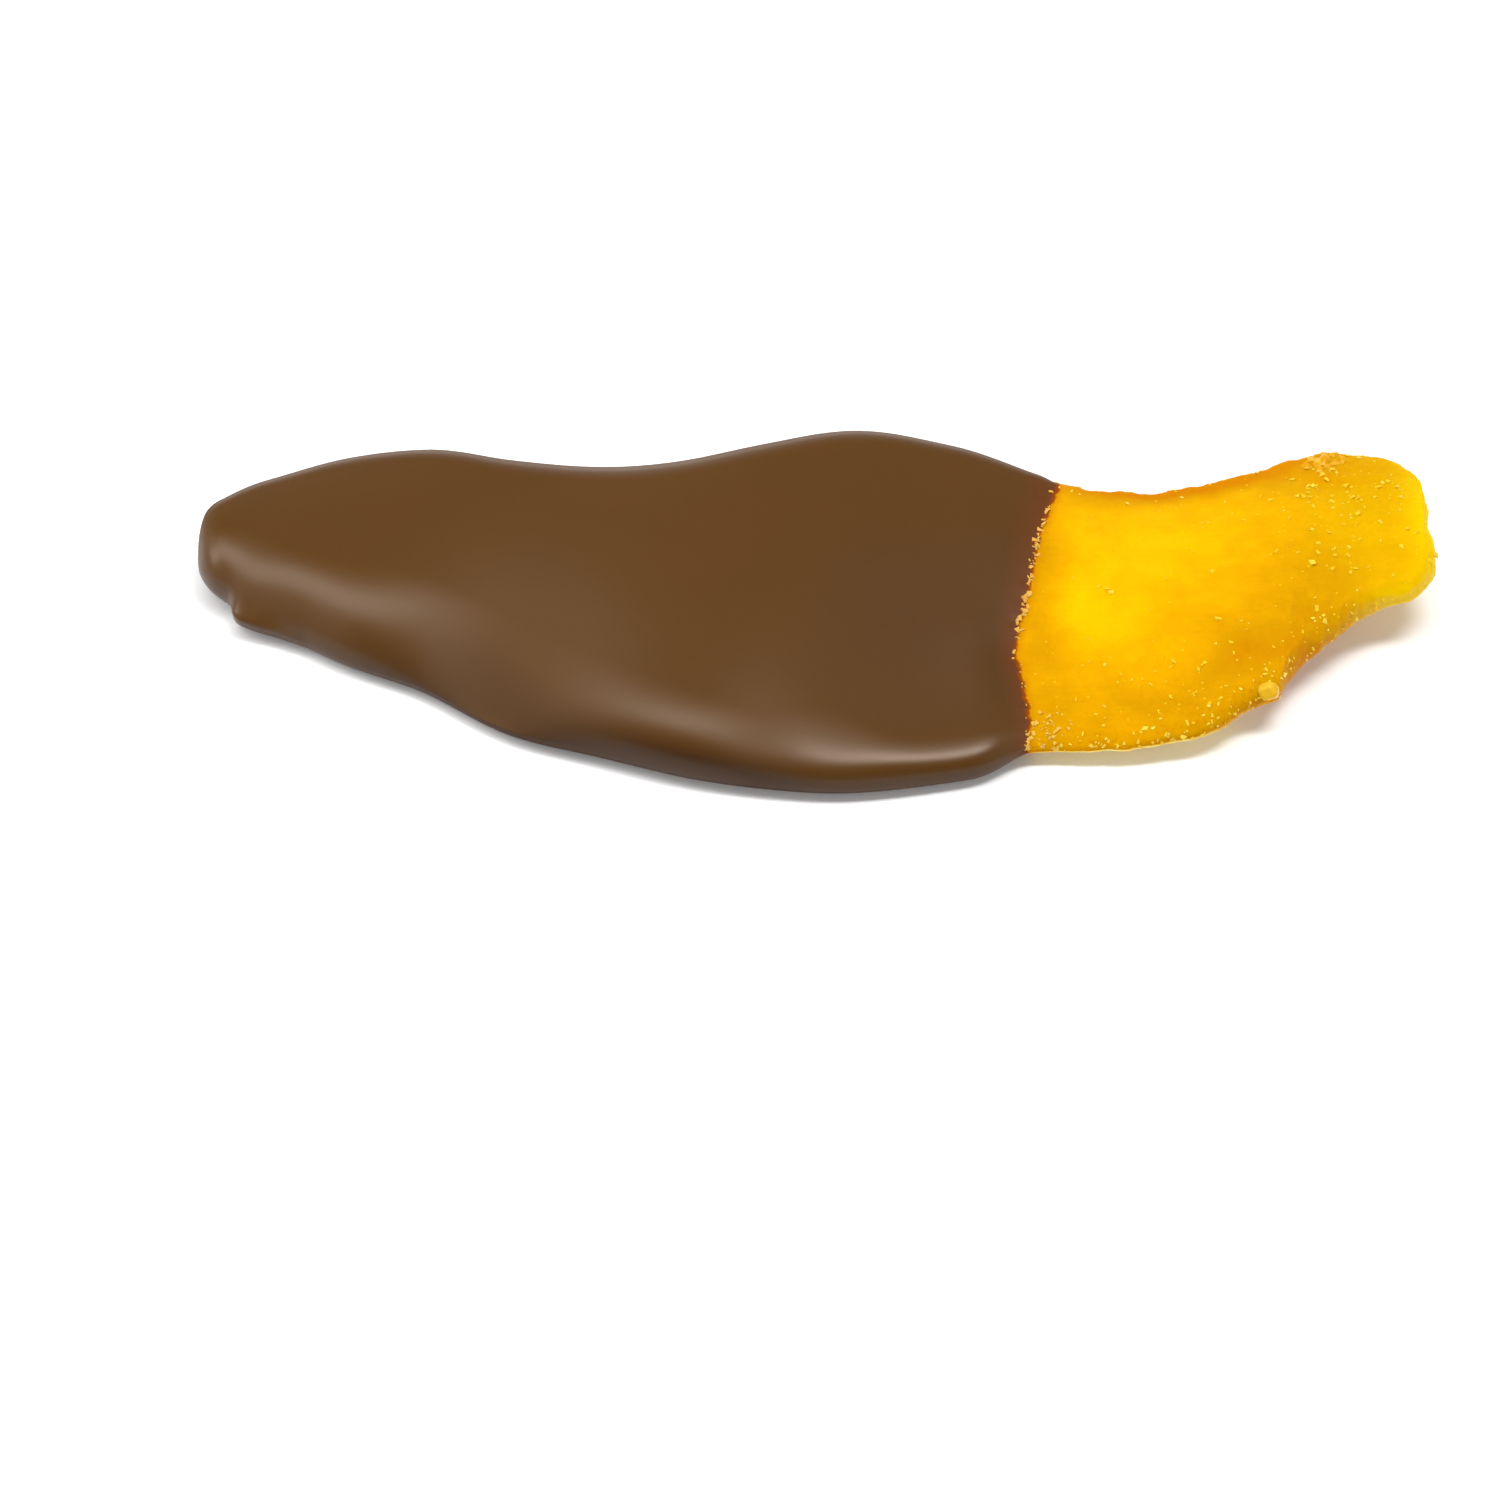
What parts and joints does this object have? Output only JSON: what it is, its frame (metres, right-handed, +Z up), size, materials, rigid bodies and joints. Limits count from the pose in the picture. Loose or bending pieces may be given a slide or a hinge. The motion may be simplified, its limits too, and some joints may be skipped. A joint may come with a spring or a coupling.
{
  "type": "chocolate-dipped dried mango slice",
  "caption": "Leaf-shaped slice of dried mango in a smooth milk chocolate coat that is open at the dip line, with a bare golden end that curls up and has a ragged edge.",
  "frame": {"origin": "middle of the bounding box's underside, in the plane that the coat rests on", "axes": "+X along the slice from the coated tip to the bare end, +Y across it to the edge with the wavy crests, +Z up from the flat underside to the shown face"},
  "size_m": [0.112, 0.045, 0.0081],
  "materials": {
    "dried_mango": "translucent dried fruit flesh with sugar grains",
    "milk_chocolate": "smooth satin milk chocolate"
  },
  "bodies": {
    "root": {"mango_slice": "dried_mango", "chocolate_coat": "milk_chocolate"}
  },
  "joints": []
}
